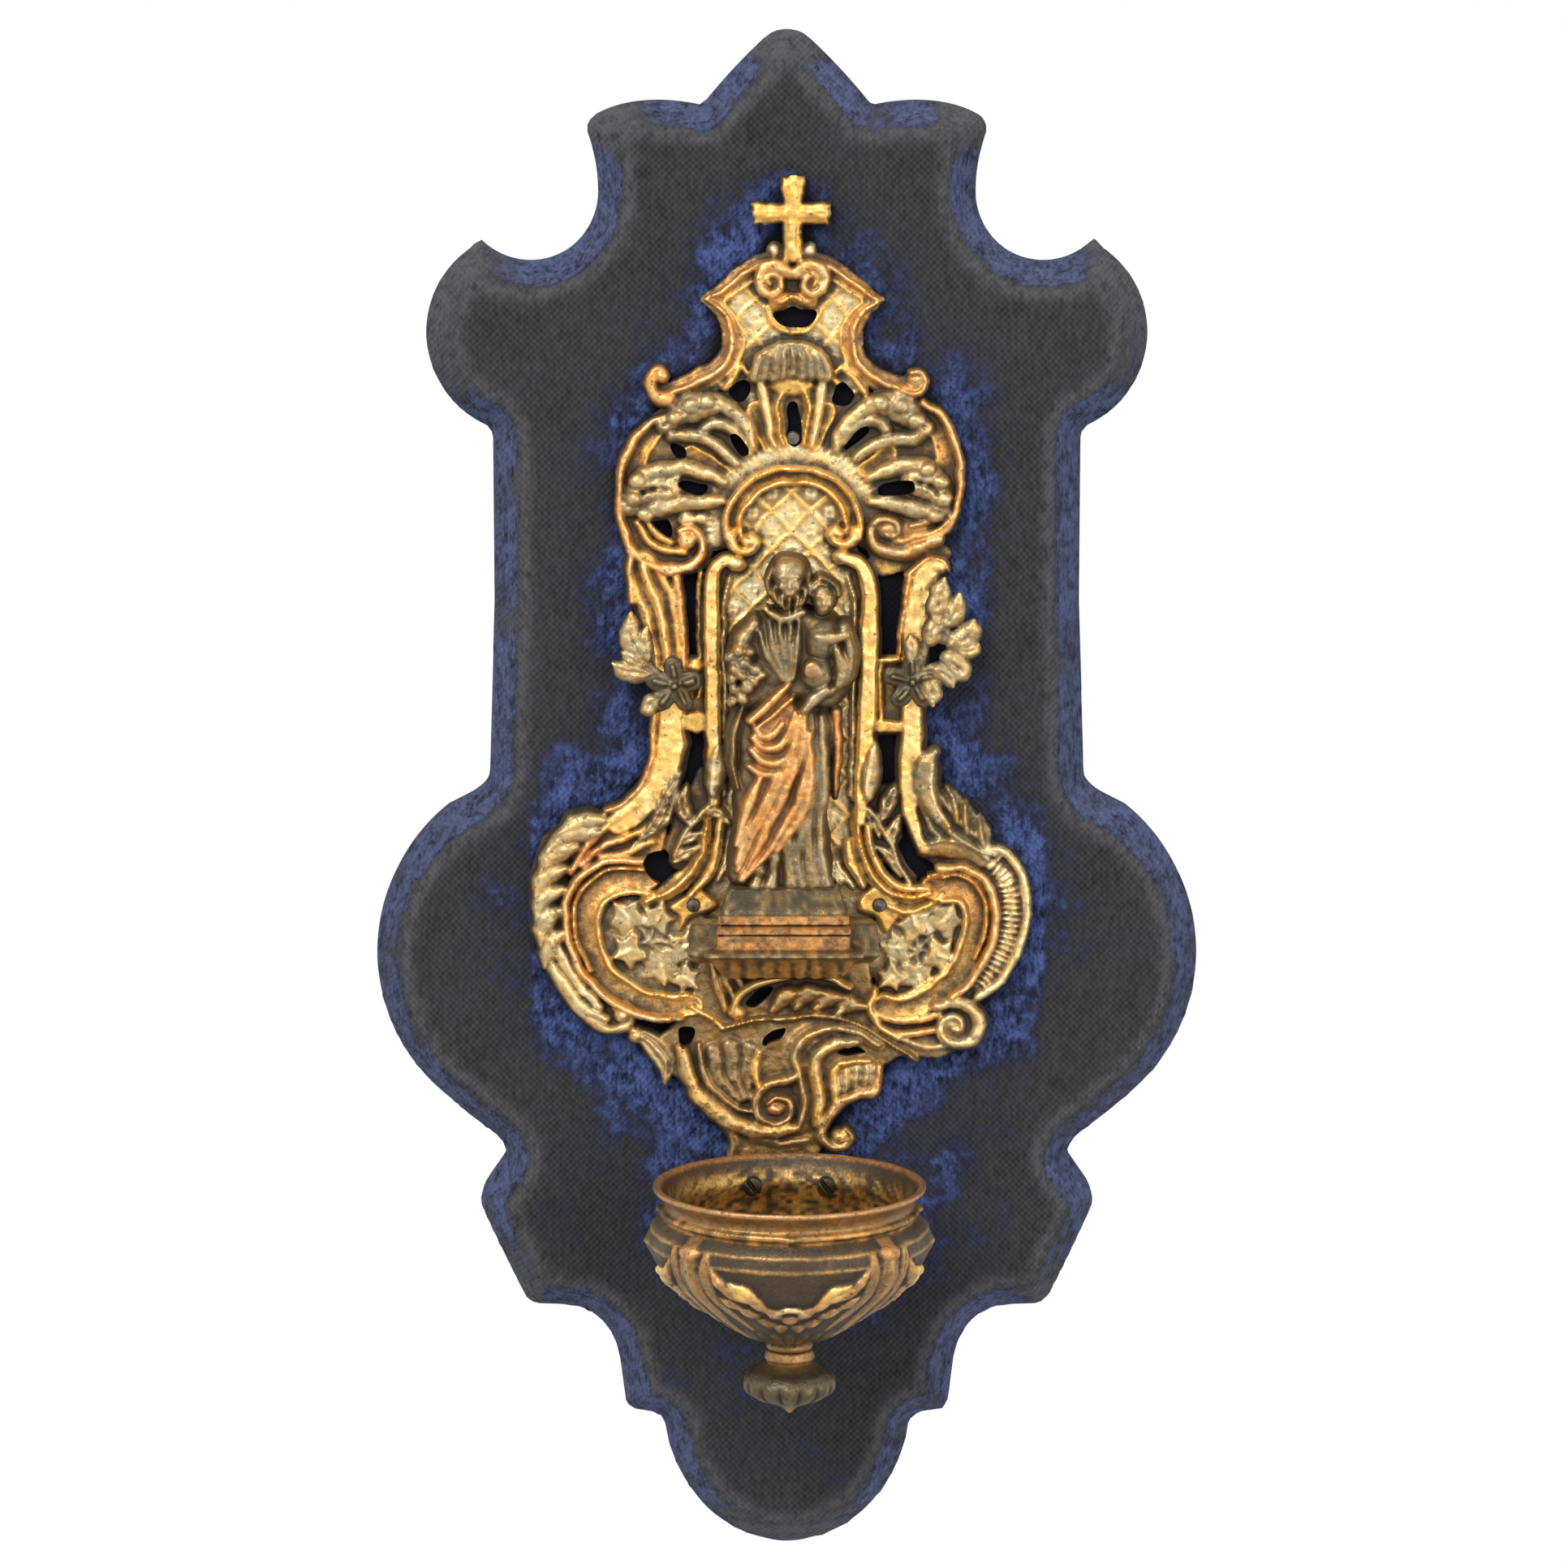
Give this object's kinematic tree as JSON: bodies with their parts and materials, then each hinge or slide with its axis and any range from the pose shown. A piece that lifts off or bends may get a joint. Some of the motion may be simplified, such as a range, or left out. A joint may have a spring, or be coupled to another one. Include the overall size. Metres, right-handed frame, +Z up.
{
  "type": "holy water stoup",
  "caption": "Wall stoup for holy water: a velvet-covered shaped board with a pierced gilt rocaille relief, a robed figure on a console, and a cast bowl with a knob finial.",
  "frame": {"origin": "centre of the board's back face, on the wall plane, half way up the board", "axes": "+Z up the wall, +X to the right seen from the front, -Y out from the wall towards the viewer"},
  "size_m": [0.161, 0.0714, 0.3],
  "materials": {
    "board_wood": "bare planed poplar",
    "velvet": "cut-pile velvet, worn on the flat front",
    "lining_paper": "matt brown lining paper",
    "tack_steel": "blued",
    "hanger_brass": "dull brass",
    "hanger_screw_steel": "dull steel",
    "relief_gilt": "worn gilding with copper and dark patina",
    "sprig_silvered": "worn silvering over brass",
    "figure_bronze": "dark bronze patina with copper wear",
    "console_bronze": "dark bronze patina with gilt edges",
    "bowl_bronze": "dark bronze with worn gilding",
    "finial_bronze": "worn gilding",
    "bowl_screw_brass": "dull brass",
    "nail_steel": "darkened"
  },
  "bodies": {
    "stoup": {"back_board": "board_wood", "velvet_cover": "velvet", "back_lining": "lining_paper", "hem_tack_1": "tack_steel", "hem_tack_2": "tack_steel", "hem_tack_3": "tack_steel", "hem_tack_4": "tack_steel", "hem_tack_5": "tack_steel", "hem_tack_6": "tack_steel", "hem_tack_7": "tack_steel", "hem_tack_8": "tack_steel", "hanger_plate": "hanger_brass", "hanger_screw_1": "hanger_screw_steel", "hanger_screw_2": "hanger_screw_steel", "relief_frame": "relief_gilt", "flower_sprig_left": "sprig_silvered", "flower_sprig_right": "sprig_silvered", "saint_figure": "figure_bronze", "figure_console": "console_bronze", "bowl": "bowl_bronze", "bowl_finial": "finial_bronze", "bowl_screw_1": "bowl_screw_brass", "bowl_screw_2": "bowl_screw_brass", "relief_nail_1": "nail_steel", "relief_nail_2": "nail_steel", "relief_nail_3": "nail_steel"},
    "ring": {"hanger_ring": "hanger_brass"}
  },
  "joints": [
    {"name": "ring_swing", "type": "hinge", "parent": "stoup", "child": "ring", "pos_m": [0, -0.00645, 0.092], "axis": [1, 0, 0], "range_deg": [0, 170]}
  ]
}
